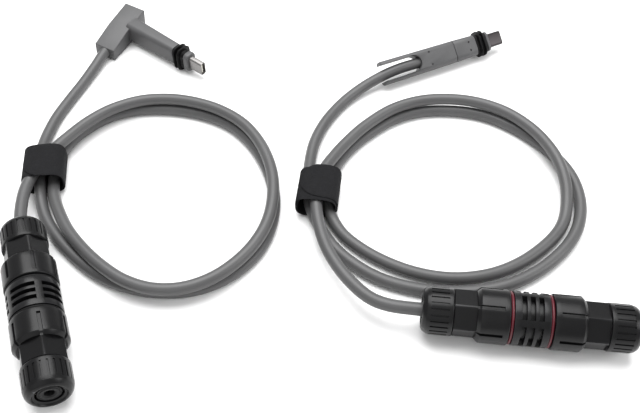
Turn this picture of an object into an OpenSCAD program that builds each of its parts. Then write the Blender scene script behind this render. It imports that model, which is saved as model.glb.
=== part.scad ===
// Pair of weatherproof data adapter leads: each has a screw-down inline coupler with a cable gland
// at both ends, a round grey cable wound in two turns and held by a strap, and a sealed plug.
// One plug leaves its cable straight, the other at an angle. Millimetres, +Z up, floor at z = 0.

/* [Cable] */
// Outer diameter of the cable
cable_d = 7; // [5:0.5:8]
// Sides of the swept cable tube
cable_sides = 12; // [8:1:12]

/* [Coupler] */
// Radius of the slotted middle section
cage_r = 13.8; // [13:0.1:14]
// Half length of the slotted middle section
cage_half = 8.9; // [8.8:0.1:10]
// Outer radius of a housing's skirt
skirt_r = 14.2; // [14:0.1:16]
// Distance from the middle to the outer end of a skirt
skirt_end = 27; // [26:0.1:30]
// Hexagon of a housing, across flats
hex_flats = 21.5; // [21:0.1:24]
// Distance from the middle to the end of the hexagon
hex_end = 38.3; // [38:0.1:42]
// Outer radius of a gland nut
nut_r = 12.3; // [12:0.1:14]
// Distance from the middle to the outer face of a gland nut
nut_end = 54.2; // [54:0.1:60]
// Radius of the hole in a gland nut
nut_hole_r = 7; // [6.5:0.1:7.2]
// Number of gripping grooves around a gland nut
nut_grooves = 24; // [12:1:30]
// Radius of the threaded spigots that the housings screw onto
spigot_r = 11.2; // [11:0.1:11.4]

/* [Plugs] */
// Width of a plug at its seal
plug_w = 13.9; // [13:0.1:16]
// Thickness of a plug at its seal
plug_t = 9.2; // [9:0.1:11]
// Width of the metal tip
tip_w = 9.4; // [8:0.1:11]
// Thickness of the metal tip
tip_t = 4.4; // [3.5:0.1:4.6]
// How far the metal tip stands out of its collar
tip_out = 10.5; // [9:0.1:12]
// Width of the U-shaped slot between the straight plug's prongs
fork_gap = 11.2; // [11:0.1:12]
// Angle between the angled plug's barrel and its cable
plug_bend = 76; // [70:1:90]

/* [Strap] */
// Width of the strap, along the cable
strap_w = 25; // [20:1:28]
// Outside of the strap across the strands
strap_across = 25; // [24:0.5:27]
// Outside of the strap from the floor up
strap_high = 17; // [17:0.5:18]
// Thickness of the two wraps of strap
strap_wall = 1.4; // [1:0.1:1.5]

/* [Hidden] */
$fn = 48;
clear = 0.1;
cable_r = cable_d / 2;
hex_r = hex_flats / 2 / cos(30);

// Where the two couplers lie: middle, heading of the free end, and clocking of the grooves of the
// free and cable-side housings and of the bars of the cage
straight_at = [114.8, 19.2, skirt_r];
straight_turn = 0;
straight_clock = [17, -17];
straight_bars = 43;
angled_at = [-136.6, -1, skirt_r];
angled_turn = -64;
angled_clock = [-13, 20];
angled_bars = -23;

// Where the two plugs lie: rear end of the straight one with its roll, bend of the angled one
straight_plug_at = [28.1, 203.2, 9];
straight_plug_turn = 31;
straight_plug_roll = 40;
angled_plug_at = [-151.6, 234.6, 8.6];
angled_plug_turn = -32;

// Where the straps lie: middle of the bundle and heading of the strands
straight_strap_at = [-1.5, 97];
straight_strap_turn = 90;
angled_strap_at = [-165.3, 97.5];
angled_strap_turn = 104;

// Stations along a coupler's axis, from its middle
seal_r = 0.85;
seal_x = cage_half + seal_r + 0.05;
housing_start = seal_x + seal_r + 0.15;
spigot_end = 20.6;
spigot_bore_r = 9.9;
thread_bore_r = spigot_r + 0.25;
thread_bore_end = 22.2;
chamber_r = 9.6;
chamber_end = 36.8;
neck_thread_r = 9.9;
neck_thread_end = 46;
seat_r = 8.9;
seat_start = 40.2;
neck_bore_r = 6.4;
claw_end = 47.1;
claw_out_r = seat_r - clear;
claw_in_r = 6.2;
grommet_end = 53;
grommet_out_r = claw_in_r - clear;
free_bore_r = 2.6;
nut_start = hex_end + 0.3;
nut_thread_r = neck_thread_r + 0.25;
nut_cavity_r = 10.5;
ring_start = 47.5;
ring_end = 49.6;
ring_out_r = 10.2;
ring_in_r = 7.2;
nut_wall_start = 49.8;

// Jack in the middle of a coupler, and the modular plug on the cable's end
jack_w = 15;
jack_h = 12.6;
jack_half = 13.5;
web_half = 3;
socket_w = 12.2;
socket_low = -4.6;
socket_high = 4.2;
socket_back = 2.2;
latch_w = 6.6;
latch_top = 5.9;
contact_pitch = 1.02;
contact_count = 8;
modular_w = 11.7;
modular_h = 8;
modular_front = 2.5;
modular_back = 24;

// Cable routes from the modular plug to the sealed plug, worked as points on the centre line
function on_axis(at, turn, d) = [at[0] + d * cos(turn), at[1] + d * sin(turn), at[2]];
straight_tail = 61.5;
straight_route = concat(
    [for (d = [modular_back, 44, straight_tail]) on_axis(straight_at, straight_turn + 180, d)],
    [[43, 20.2, 14], [34, 24, 13], [25, 31.5, 12.3], [16, 42, 11.8], [8, 55, 11.5],
     [2.5, 69, 11.5], [-1, 83, 12], [-2, 97, 12.1], [0, 111, 12], [5, 124, 11.3],
     [12, 138, 10.6], [22, 153, 10.6], [37, 169, 10.6], [55, 179, 10.6], [75, 182.5, 10.6],
     [93.5, 180.5, 10.6], [110.5, 173, 10.6], [126, 158.5, 10.6], [136.5, 140, 10.6],
     [141.5, 122, 8.6], [142, 106, 5], [138.5, 91.5, 3.5], [129, 77, 3.5], [114, 62.5, 3.5],
     [96.5, 52.5, 3.5], [76, 48, 3.5], [55, 50, 3.5], [35, 57.5, 3.5], [18.5, 68.5, 3.5],
     [10, 79, 3.8], [5.5, 89, 5], [3, 100, 5], [3.5, 112, 5], [7, 125, 4], [13, 138, 3.5],
     [23, 152, 3.5], [38, 167, 3.5], [56, 176.5, 3.5], [76.5, 179.5, 3.5], [95, 177.5, 3.5],
     [111.5, 170, 3.5], [125.5, 159.5, 3.5], [137.5, 147, 3.5], [146, 133, 3.5],
     [150, 118, 3.5], [150, 102.5, 3.5], [146, 87.5, 3.5], [137.5, 73, 3.5], [124, 58.5, 3.5],
     [108, 47.5, 3.5], [90, 41, 3.5], [71, 38.5, 3.5], [54, 39.5, 3.5], [38, 43.5, 3.5],
     [24, 51, 3.5], [12, 61, 3.5], [3, 73, 4], [-4, 86, 5], [-7.7, 99, 5], [-9, 112, 5],
     [-9.7, 127, 3.8], [-8.7, 143, 3.5], [-4, 160.5, 3.5], [4.5, 178, 3.5], [15.5, 192, 5],
     [28.4, 202.4, 7.9]],
    [for (d = [13, 24, 33.9]) on_axis(straight_plug_at, straight_plug_turn, d)]
);
angled_cable_turn = angled_plug_turn - plug_bend;
angled_entry = 27.4;
cable_drop = 2.6;
angled_tail = 61.5;
angled_route = concat(
    [for (d = [modular_back, 44, angled_tail]) on_axis(angled_at, angled_turn + 180, d)],
    [[-168, 71, 13.3], [-169, 84, 12.3], [-167, 97, 12.1], [-163, 109, 12.1],
     [-157.5, 121.5, 11.6], [-149.5, 136.5, 10.8], [-138, 149.5, 10.6], [-122, 159, 10.6],
     [-104, 162.5, 10.6], [-86, 161, 10.6], [-69, 155.5, 10.6], [-53, 145, 10.6],
     [-40, 129, 10.6], [-31, 110, 10.6], [-27, 91, 10.6], [-27, 72, 10.6], [-31.5, 55, 10.6],
     [-40, 40, 10.6], [-51.5, 28, 10.6], [-65.5, 20.5, 10.6], [-81, 18.5, 10.6],
     [-96.5, 22, 10.6], [-111, 30, 10.3], [-124.5, 40.5, 9.4], [-137.5, 53.5, 8],
     [-148, 68, 6.6], [-154.5, 79.5, 5.6], [-158, 90, 5], [-160, 101, 5], [-160.5, 112, 5],
     [-158.5, 124.5, 4.2], [-151.5, 138, 3.5], [-140.5, 149.5, 3.5], [-126, 157, 3.5],
     [-110, 160, 3.5], [-94, 160, 3.5], [-78, 157, 3.5], [-62.5, 150, 3.5], [-49, 138, 3.5],
     [-38, 122.5, 3.5], [-30, 105, 3.5], [-26, 88, 3.5], [-26, 71, 3.5], [-30, 55, 3.5],
     [-38, 41.5, 3.5], [-49, 31, 3.5], [-63, 24, 3.5], [-79, 21.5, 3.5], [-94.5, 22.5, 3.5],
     [-110, 27, 3.5], [-125, 35.5, 3.5], [-140, 47.5, 3.5], [-153, 61.5, 3.5],
     [-160.8, 74.5, 4], [-165.3, 87, 5], [-169.5, 99, 5], [-173, 111, 5], [-175, 125.5, 3.8],
     [-174.3, 144, 3.5], [-171, 161, 3.5], [-167, 178, 3.6], [-163.5, 193, 4.6]],
    [for (d = [angled_entry, angled_entry - 12]) cable_exit(d)]
);
function cable_exit(d) = [angled_plug_at[0] + d * cos(angled_cable_turn),
    angled_plug_at[1] + d * sin(angled_cable_turn), angled_plug_at[2] - cable_drop];

// Placing -------------------------------------------------------------------------------------

// Puts a piece of the straight lead's coupler where it lies; cable_side turns it end for end
module on_straight(cable_side = false) {
    translate(straight_at) rotate([0, 0, straight_turn])
        rotate([0, 0, cable_side ? 180 : 0]) children();
}

// The same for the angled lead
module on_angled(cable_side = false) {
    translate(angled_at) rotate([0, 0, angled_turn])
        rotate([0, 0, cable_side ? 180 : 0]) children();
}

module on_straight_plug() {
    translate(straight_plug_at) rotate([0, 0, straight_plug_turn])
        rotate([straight_plug_roll, 0, 0]) children();
}

module on_angled_plug() {
    translate(angled_plug_at) rotate([0, 0, angled_plug_turn]) children();
}

// Basic shapes --------------------------------------------------------------------------------

// Round bar or disc along +X from x0 to x1
module bar(x0, x1, r, sides = $fn) {
    translate([x0, 0, 0]) rotate([0, 90, 0]) cylinder(h = x1 - x0, r = r, $fn = sides);
}

// Box centred on the axis from x0 to x1
module block(x0, x1, w, h) {
    translate([x0, -w / 2, -h / 2]) cube([x1 - x0, w, h]);
}

// Rounded section w wide (Y) and t thick (Z), from x0 to x1 along +X
module rounded_bar(x0, x1, w, t, r) {
    translate([x0, 0, 0]) rotate([90, 0, 90]) linear_extrude(x1 - x0) rounded_outline(w, t, r);
}

module rounded_outline(w, t, r) {
    square([w - 2 * r, t], center = true);
    square([w, t - 2 * r], center = true);
    for (i = [-1, 1], j = [-1, 1])
        translate([i * (w / 2 - r), j * (t / 2 - r)]) circle(r, $fn = 32);
}

// Rounded section that tapers from one size to another along +X
module tapered_bar(x0, w0, t0, x1, w1, t1, r) {
    hull() {
        rounded_bar(x0, x0 + 0.1, w0, t0, r);
        rounded_bar(x1 - 0.1, x1, w1, t1, r);
    }
}

// Round-sided tube swept along a list of points, one ring at each point
module swept_tube(route, r, sides) {
    n = len(route);
    rings = [for (i = [0:n - 1]) ring_at(route, i, n, r, sides)];
    points = [for (ring = rings) each ring];
    walls = [for (i = [0:n - 2], j = [0:sides - 1])
        let (a = i * sides + j, b = i * sides + (j + 1) % sides) [a, b, b + sides, a + sides]];
    first = [for (j = [sides - 1:-1:0]) j];
    last = [for (j = [0:sides - 1]) (n - 1) * sides + j];
    polyhedron(points = points, faces = concat([first], walls, [last]), convexity = 10);
}

// One ring of the tube, square to the mean heading of the route at point i
function ring_at(route, i, n, r, sides) =
    let (before = route[max(i - 1, 0)], after = route[min(i + 1, n - 1)],
         ahead = (after - before) / norm(after - before),
         side = cross([0, 0, 1], ahead) / norm(cross([0, 0, 1], ahead)),
         up = cross(ahead, side))
    [for (j = [0:sides - 1])
        let (a = -360 * j / sides) route[i] + r * (cos(a) * side + sin(a) * up)];

// Coupler -------------------------------------------------------------------------------------

slot_w = 2.5;
slot_pitch = 4.2;
slot_floor_r = 11;
bar_w = 3.6;
bar_count = 5;

// Middle of a coupler: slotted cage, two threaded spigots and the web that holds the jack
module centre_body(clock) {
    difference() {
        union() {
            bar(-cage_half, cage_half, cage_r);
            bar(-spigot_end, spigot_end, spigot_r);
        }
        for (side = [-1, 1])
            rotate([0, 0, side > 0 ? 0 : 180]) bar(web_half, spigot_end + 1, spigot_bore_r);
        block(-web_half - 1, web_half + 1, jack_w + clear, jack_h + clear);
        for (row = [-1:1]) slot_ring(row * slot_pitch, clock);
    }
}

// One ring of slots, broken by axial bars
module slot_ring(x, clock) {
    difference() {
        bar(x - slot_w / 2, x + slot_w / 2, cage_r + 1);
        bar(x - slot_w, x + slot_w, slot_floor_r);
        for (i = [0:bar_count - 1])
            rotate([clock + 360 / bar_count * i, 0, 0])
                translate([x - slot_w, -bar_w / 2, 0]) cube([2 * slot_w, bar_w, cage_r + 2]);
    }
}

module seal_rings() {
    for (x = [-seal_x, seal_x])
        translate([x, 0, 0]) rotate([0, 90, 0])
            rotate_extrude() translate([spigot_r + 0.5 + seal_r, 0]) circle(seal_r, $fn = 24);
}

// Double-ended jack with a plug socket and latch slot in each face
module jack_block() {
    difference() {
        block(-jack_half, jack_half, jack_w, jack_h);
        for (turn = [0, 180])
            rotate([0, 0, turn]) {
                translate([socket_back, -socket_w / 2, socket_low])
                    cube([jack_half, socket_w, socket_high - socket_low]);
                translate([socket_back, -latch_w / 2, socket_low])
                    cube([jack_half, latch_w, latch_top - socket_low]);
            }
    }
}

// Contact springs on the floor of both sockets
module jack_contacts() {
    for (turn = [0, 180], i = [0:contact_count - 1])
        rotate([0, 0, turn])
            translate([socket_back + 1, (i - 3.5) * contact_pitch - 0.2, socket_low + 0.05])
                cube([9, 0.4, 0.3]);
}

// Modular plug crimped on the cable, with its latch tab
module modular_plug() {
    difference() {
        union() {
            block(modular_front, modular_back, modular_w, modular_h);
            translate([modular_front + 1.5, -3, modular_h / 2 - 0.1]) cube([4, 6, 1.4]);
            translate([modular_front + 5, -1.6, modular_h / 2 + 0.6]) cube([13, 3.2, 0.7]);
        }
        translate([modular_front + 0.6, -4.3, -modular_h / 2 - 1]) cube([6, 8.6, 2]);
    }
}

module modular_contacts() {
    for (i = [0:contact_count - 1])
        translate([modular_front + 1, (i - 3.5) * contact_pitch - 0.15, -modular_h / 2 + 0.1])
            cube([5, 0.3, 0.8]);
}

groove_w = 2.4;
groove_deep = 1.1;
groove_start = housing_start + 3;

// Screw housing: grooved skirt, hexagon neck and the thread for the gland nut
module housing(clock) {
    difference() {
        union() {
            bar(housing_start, skirt_end - 2, skirt_r);
            translate([skirt_end - 2, 0, 0]) rotate([0, 90, 0])
                cylinder(h = 2, r1 = skirt_r, r2 = skirt_r - 1.6);
            rotate([clock, 0, 0]) bar(skirt_end - 1, hex_end, hex_r, 6);
            bar(hex_end - 1, neck_thread_end, neck_thread_r);
        }
        bar(housing_start - 1, thread_bore_end, thread_bore_r);
        bar(thread_bore_end - 1, chamber_end, chamber_r);
        bar(chamber_end - 1, seat_start + 1, neck_bore_r);
        bar(seat_start, neck_thread_end + 1, seat_r);
        for (i = [0:5])
            rotate([clock + 60 * i, 0, 0])
                translate([groove_start, -groove_w / 2, skirt_r - groove_deep])
                    cube([skirt_end, groove_w, 3]);
    }
}

// Ring of clamping fingers that the nut squeezes onto the grommet
module claw() {
    difference() {
        bar(seat_start + 0.1, claw_end, claw_out_r);
        bar(seat_start - 1, claw_end + 1, claw_in_r);
        for (i = [0:3])
            rotate([45 * i, 0, 0]) block(seat_start + 2.5, claw_end + 1, 0.8, 3 * claw_out_r);
    }
}

module grommet(bore_r) {
    difference() {
        union() {
            bar(seat_start + 0.1, grommet_end - 1, grommet_out_r);
            bar(grommet_end - 1.5, grommet_end, grommet_out_r - 0.6);
        }
        bar(seat_start - 1, grommet_end + 1, bore_r);
    }
}

// Slip ring between the nut and the claw
module slip_ring() {
    difference() {
        bar(ring_start, ring_end, ring_out_r);
        bar(ring_start - 1, ring_end + 1, ring_in_r);
    }
}

// Gland nut with a domed end and gripping grooves
module gland_nut() {
    difference() {
        rotate([0, 90, 0]) rotate_extrude()
            polygon([[nut_hole_r, nut_wall_start], [nut_cavity_r, nut_wall_start],
                     [nut_cavity_r, ring_start - 0.5], [nut_thread_r, ring_start - 0.5],
                     [nut_thread_r, nut_start], [nut_r - 0.4, nut_start], [nut_r, nut_start + 0.4],
                     [nut_r, nut_end - 4.4], [nut_r - 0.7, nut_end - 2.2],
                     [nut_r - 2, nut_end - 0.6], [nut_r - 3, nut_end], [nut_hole_r, nut_end]]);
        for (i = [0:nut_grooves - 1])
            rotate([360 / nut_grooves * i, 0, 0])
                translate([nut_start + 2.6, -0.5, nut_r - 0.5]) cube([9.4, 1, 2]);
    }
}

// Cables and straps ---------------------------------------------------------------------------

// Closed band of strap around the strands
module strap(at, turn) {
    translate([at[0], at[1], strap_high / 2]) rotate([0, 0, turn]) difference() {
        rounded_bar(-strap_w / 2, strap_w / 2, strap_across, strap_high, 5);
        rounded_bar(-strap_w, strap_w, strap_across - 2 * strap_wall, strap_high - 2 * strap_wall,
                    5 - strap_wall);
    }
}

// Plugs ---------------------------------------------------------------------------------------

body_w = 15.8;
seam_w = 14.6;
body_t = 10;
plug_seam = 54;
plug_len = 70.4;
angled_len = 49.3;
straight_seal = 8.4;
angled_seal = 9.2;
straight_collar = 1.8;
angled_collar = 4.4;
lip_w = 3.2;
lip_t = 3.4;
lip_thick = 1.2;
nose_w = 11;
nose_t = 6;
fork_end = 28.3;
tip_in = 6;
dimple_r = 0.45;

// Rear shell of the straight plug: two prongs beside the cable and its blind hole
module plug_rear() {
    difference() {
        tapered_bar(0, body_w, body_t - 0.4, plug_seam - 0.1, seam_w, body_t, 4);
        translate([-1, -fork_gap / 2, -body_t])
            cube([fork_end - fork_gap / 2 + 1, fork_gap, 2 * body_t]);
        translate([fork_end - fork_gap / 2, 0, -body_t])
            cylinder(h = 2 * body_t, r = fork_gap / 2);
        bar(fork_end - 2, 34, cable_r + clear);
        for (y = [-4.2, 4.2]) translate([35, y, body_t / 2 - 1.2]) cylinder(h = 3, r = dimple_r);
    }
}

// Front shell of the straight plug, with the nose that carries the seal
module plug_front() {
    difference() {
        union() {
            tapered_bar(plug_seam, seam_w, body_t, plug_len, plug_w, plug_t, 4);
            plug_nose(plug_len - 0.5, plug_len + straight_seal, straight_collar);
        }
        tip_pocket(plug_len + straight_seal + straight_collar);
        for (y = [-2.8, 2.8]) translate([65, y, plug_t / 2 - 0.8]) cylinder(h = 3, r = dimple_r);
    }
}

// Nose under a seal from x0 to x1, and the collar in front of it
module plug_nose(x0, x1, collar) {
    rounded_bar(x0, x1 + 0.5, nose_w, nose_t, 2.5);
    rounded_bar(x1, x1 + collar, plug_w - 0.6, plug_t - 0.8, 3);
}

// Pocket for the metal tip, open at x
module tip_pocket(x) {
    rounded_bar(x - tip_in, x + 1, tip_w + 2 * clear, tip_t + 2 * clear, 1.5 + clear);
}

// Rubber seal with two lips, from x0 to x1
module plug_seal(x0, x1) {
    pitch = (x1 - x0) / 3;
    difference() {
        union() {
            rounded_bar(x0 + 0.1, x1 - 0.1, plug_w - 1.6, plug_t - 1.6, 3);
            for (x = [x0 + 0.7 * pitch, x0 + 1.8 * pitch])
                rounded_bar(x, x + lip_thick, plug_w + lip_w, plug_t + lip_t, 4);
        }
        rounded_bar(x0 - 1, x1 + 1, nose_w + clear, nose_t + clear, 2.5);
    }
}

// Drawn metal shell of a tip that stands out of its collar at x, open at its outer end
module tip_shell(x) {
    difference() {
        rounded_bar(x - tip_in + 0.1, x + tip_out, tip_w, tip_t, 1.5);
        rounded_bar(x - tip_in + 1, x + tip_out + 1, tip_w - 0.9, tip_t - 0.9, 1.05);
    }
}

// Contact tongue inside a tip
module tip_tongue(x) {
    block(x - tip_in + 1.1, x + tip_out - 1.2, tip_w - 2.6, 1);
}

head_w = 14.8;
head_tilt = 7;
head_low = -6.8;
barrel_w = 11.5;
barrel_t = 14.8;
head_back = 12.4;
head_break = 10;

// Overmould of the angled plug: barrel, nose and wedge-shaped head with the cable's blind hole
module plug_head() {
    x1 = angled_len + angled_seal;
    difference() {
        union() {
            rotate([0, head_tilt, 0]) rotate([0, 0, 90 - plug_bend]) head_block();
            tapered_bar(4, barrel_w, barrel_t, angled_len, plug_t, plug_w, 3.5);
            rotate([90, 0, 0]) plug_nose(angled_len - 0.5, x1, angled_collar);
        }
        rotate([90, 0, 0]) tip_pocket(x1 + angled_collar);
        rotate([0, 0, 90 - plug_bend]) translate([0, 13 - angled_entry, -cable_drop])
            rotate([90, 0, 0]) cylinder(h = 20, r = cable_r + clear);
    }
}

// Side outline of the head, extruded across its width; the cable end faces -Y
module head_block() {
    translate([-head_w / 2, 0, 0]) rotate([90, 0, 90]) linear_extrude(head_w)
        polygon([[head_back, head_low], [head_back, 7.4], [head_back - 0.8, 8], [-head_break, 6],
                 [-angled_entry, 2], [-angled_entry, head_low]]);
}

straight_tip_x = plug_len + straight_seal + straight_collar;
angled_tip_x = angled_len + angled_seal + angled_collar;

// The pieces ---------------------------------------------------------------------------

module dark() { color([0.17, 0.17, 0.17]) children(); }
module grey() { color([0.45, 0.45, 0.45]) children(); }
module gold() { color([0.8, 0.65, 0.3]) children(); }
module steel() { color([0.8, 0.79, 0.77]) children(); }

module straight_centre_body() { dark() on_straight() centre_body(straight_bars); }
module straight_seal_rings() { color([0.45, 0.1, 0.14]) on_straight() seal_rings(); }
module straight_jack_block() { dark() on_straight() jack_block(); }
module straight_jack_contacts() { gold() on_straight() jack_contacts(); }
module straight_modular_plug() { color([0.85, 0.88, 0.9]) on_straight(true) modular_plug(); }
module straight_modular_contacts() { gold() on_straight(true) modular_contacts(); }
module straight_cable() { grey() swept_tube(straight_route, cable_r, cable_sides); }
module straight_strap() { dark() strap(straight_strap_at, straight_strap_turn); }
module straight_plug_rear() { grey() on_straight_plug() plug_rear(); }
module straight_plug_front() { grey() on_straight_plug() plug_front(); }
module straight_plug_seal() {
    dark() on_straight_plug() plug_seal(plug_len, plug_len + straight_seal);
}
module straight_tip_shell() { steel() on_straight_plug() tip_shell(straight_tip_x); }
module straight_tip_tongue() { dark() on_straight_plug() tip_tongue(straight_tip_x); }
module straight_claw_cable() { dark() on_straight(true) claw(); }
module straight_grommet_cable() { dark() on_straight(true) grommet(cable_r + clear); }
module straight_housing_cable() { dark() on_straight(true) housing(straight_clock[1]); }
module straight_ring_cable() { dark() on_straight(true) slip_ring(); }
module straight_nut_cable() { dark() on_straight(true) gland_nut(); }
module straight_claw_field() { dark() on_straight() claw(); }
module straight_grommet_field() { dark() on_straight() grommet(free_bore_r); }
module straight_housing_field() { dark() on_straight() housing(straight_clock[0]); }
module straight_ring_field() { dark() on_straight() slip_ring(); }
module straight_nut_field() { dark() on_straight() gland_nut(); }

module angled_centre_body() { dark() on_angled() centre_body(angled_bars); }
module angled_seal_rings() { dark() on_angled() seal_rings(); }
module angled_jack_block() { dark() on_angled() jack_block(); }
module angled_jack_contacts() { gold() on_angled() jack_contacts(); }
module angled_modular_plug() { color([0.85, 0.88, 0.9]) on_angled(true) modular_plug(); }
module angled_modular_contacts() { gold() on_angled(true) modular_contacts(); }
module angled_cable() { grey() swept_tube(angled_route, cable_r, cable_sides); }
module angled_strap() { dark() strap(angled_strap_at, angled_strap_turn); }
module angled_plug_body() { grey() on_angled_plug() plug_head(); }
module angled_plug_seal() {
    dark() on_angled_plug() rotate([90, 0, 0]) plug_seal(angled_len, angled_len + angled_seal);
}
module angled_tip_shell() { steel() on_angled_plug() rotate([90, 0, 0]) tip_shell(angled_tip_x); }
module angled_tip_tongue() { dark() on_angled_plug() rotate([90, 0, 0]) tip_tongue(angled_tip_x); }
module angled_claw_cable() { dark() on_angled(true) claw(); }
module angled_grommet_cable() { dark() on_angled(true) grommet(cable_r + clear); }
module angled_housing_cable() { dark() on_angled(true) housing(angled_clock[1]); }
module angled_ring_cable() { dark() on_angled(true) slip_ring(); }
module angled_nut_cable() { dark() on_angled(true) gland_nut(); }
module angled_claw_field() { dark() on_angled() claw(); }
module angled_grommet_field() { dark() on_angled() grommet(free_bore_r); }
module angled_housing_field() { dark() on_angled() housing(angled_clock[0]); }
module angled_ring_field() { dark() on_angled() slip_ring(); }
module angled_nut_field() { dark() on_angled() gland_nut(); }

straight_centre_body();
straight_seal_rings();
straight_jack_block();
straight_jack_contacts();
straight_modular_plug();
straight_modular_contacts();
straight_cable();
straight_strap();
straight_plug_rear();
straight_plug_front();
straight_plug_seal();
straight_tip_shell();
straight_tip_tongue();
straight_claw_cable();
straight_grommet_cable();
straight_housing_cable();
straight_ring_cable();
straight_nut_cable();
straight_claw_field();
straight_grommet_field();
straight_housing_field();
straight_ring_field();
straight_nut_field();
angled_centre_body();
angled_seal_rings();
angled_jack_block();
angled_jack_contacts();
angled_modular_plug();
angled_modular_contacts();
angled_cable();
angled_strap();
angled_plug_body();
angled_plug_seal();
angled_tip_shell();
angled_tip_tongue();
angled_claw_cable();
angled_grommet_cable();
angled_housing_cable();
angled_ring_cable();
angled_nut_cable();
angled_claw_field();
angled_grommet_field();
angled_housing_field();
angled_ring_field();
angled_nut_field();
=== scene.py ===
"""Two weatherproof adapter leads on a pale table: nylon couplers with screw housings and gland nuts,
grey jacketed cables wound in two turns under a fabric strap, and a sealed plug on each."""

import math

import bmesh
import bpy
from mathutils import Matrix, Vector


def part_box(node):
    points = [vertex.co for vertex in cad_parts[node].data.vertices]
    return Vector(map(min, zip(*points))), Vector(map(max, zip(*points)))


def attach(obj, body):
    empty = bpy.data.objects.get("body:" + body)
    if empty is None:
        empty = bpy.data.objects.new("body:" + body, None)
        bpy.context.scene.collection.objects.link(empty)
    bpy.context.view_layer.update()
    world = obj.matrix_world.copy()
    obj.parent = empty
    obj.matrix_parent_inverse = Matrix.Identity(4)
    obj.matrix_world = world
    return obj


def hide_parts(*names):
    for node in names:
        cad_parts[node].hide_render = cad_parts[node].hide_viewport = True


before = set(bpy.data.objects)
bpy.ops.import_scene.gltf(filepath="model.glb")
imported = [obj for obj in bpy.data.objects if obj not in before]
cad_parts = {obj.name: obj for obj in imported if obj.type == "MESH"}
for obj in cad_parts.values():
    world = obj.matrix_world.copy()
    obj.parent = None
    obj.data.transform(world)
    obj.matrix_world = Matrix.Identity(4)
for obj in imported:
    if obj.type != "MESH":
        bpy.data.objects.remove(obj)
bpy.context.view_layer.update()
MM = 0.001

# ---------------------------------------------------------------- places and sizes, in millimetres

# Heading of each coupler's field end, and the turn of its housing grooves and cage bars, in degrees
HEADING = {"straight": 0.0, "angled": -64.0}
GROOVE_CLOCK = {("straight", "field"): 17, ("straight", "cable"): -17,
                ("angled", "field"): -13, ("angled", "cable"): 20}
BAR_CLOCK = {"straight": 43, "angled": -23}

# Cable, and where the rear of each plug lies
CABLE_R = 3.5
STRAIGHT_PLUG_AT = (28.1, 203.2, 9.0)
STRAIGHT_PLUG_HEADING = 31
STRAIGHT_PLUG_ROLL = 40
ANGLED_PLUG_AT = (-151.6, 234.6, 8.6)
ANGLED_PLUG_HEADING = -32
PLUG_BEND = 76
CABLE_DROP = 2.6

# Slotted middle of a coupler, measured along its axis from the middle outwards
CAGE_R = 13.8
CAGE_HALF = 8.9
SPIGOT_R = 11.2
SPIGOT_END = 20.6
SPIGOT_BORE = 9.9
SPIGOT_THREAD = 0.7
WEB_HALF = 3.0
WEB_R = 7.0
WINDOW_HALF_W = 7.55
WINDOW_HALF_H = 6.35
SLOT_ROWS = (-4.2, 0.0, 4.2)
SLOT_HALF = 1.25
SLOT_FLOOR = 11.0
BARS = 5
BAR_HALF = 1.8
SEAL_X = 9.8
SEAL_R = 0.85

# Screw housing: thread, chamber, mouth and seat inside; skirt, hexagon and neck outside
HOUSING_START = 10.8
HOUSING_THREAD_END = 22.2
CHAMBER_R = 9.6
CHAMBER_END = 36.8
MOUTH_R = 6.4
SEAT_R = 8.9
SEAT_START = 40.2
SKIRT_R = 14.2
SKIRT_END = 27.0
HEX_HALF = 10.75
HEX_CORNER = 12.25
HEX_END = 38.3
NECK_R = 9.9
NECK_THREAD = 0.6
NECK_END = 46.0

# Gland nut and grommet
NUT_START = 38.6
NUT_R = 12.3
NUT_END = 54.2
NUT_GROOVES = 24
NUT_THREAD_R = 10.15
NUT_THREAD_END = 47.0
NUT_CAVITY_R = 10.5
NUT_CAVITY_END = 49.8
NUT_HOLE_R = 7.0
GROMMET_START = 40.3
GROMMET_END = 53.0
GROMMET_R = 6.1
FIELD_BORE = 2.6
THREAD_PITCH = 2.0

# Straps: middle and heading of the bundle, and how far the tape drifts along it
STRAPS = {"straight": ((-1.5, 97), 90, 2.5), "angled": ((-165.3, 97.5), 104, -1.5)}

# ---------------------------------------------------------------- camera, floor and light


def look(location, tilt, turn, lens):
    """The camera, looking down from in front of the leads."""
    camera = bpy.data.objects.new("camera", bpy.data.cameras.new("camera"))
    camera.location = location
    camera.rotation_euler = (math.radians(tilt), 0, math.radians(turn))
    camera.data.lens = lens
    camera.data.sensor_width = 36
    camera.data.clip_start = 0.01
    bpy.context.scene.collection.objects.link(camera)
    bpy.context.scene.camera = camera


look(location=(0.0359, -0.2243, 0.381), tilt=40, turn=6.457, lens=47.8)


def linear(text):
    """An sRGB hex colour as linear RGBA."""
    parts = [int(text[i:i + 2], 16) / 255 for i in (1, 3, 5)]
    return [c / 12.92 if c <= 0.04045 else ((c + 0.055) / 1.055) ** 2.4 for c in parts] + [1.0]


LIT_SPOT = (0, 0.08, 0)


def soft_light(name, at, size, power):
    """A square studio softbox, turned to the middle of the leads."""
    light = bpy.data.lights.new(name, "AREA")
    light.energy = power
    light.size = size
    obj = bpy.data.objects.new(name, light)
    obj.location = at
    obj.rotation_euler = (Vector(LIT_SPOT) - Vector(at)).to_track_quat("-Z", "Y").to_euler()
    bpy.context.scene.collection.objects.link(obj)


soft_light("overhead_box", at=(-0.1, 0.5, 1.2), size=1.2, power=29)
soft_light("right_box", at=(1.0, 0.0, 0.6), size=0.5, power=4)
soft_light("front_fill", at=(-0.3, -0.9, 0.8), size=1.2, power=2.5)

world = bpy.data.worlds.new("studio")
world.use_nodes = True
world.node_tree.nodes["Background"].inputs["Color"].default_value = linear("#f6f6f6")
world.node_tree.nodes["Background"].inputs["Strength"].default_value = 0.62
bpy.context.scene.world = world
bpy.context.scene.view_settings.view_transform = "Standard"

# ---------------------------------------------------------------- materials


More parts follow.
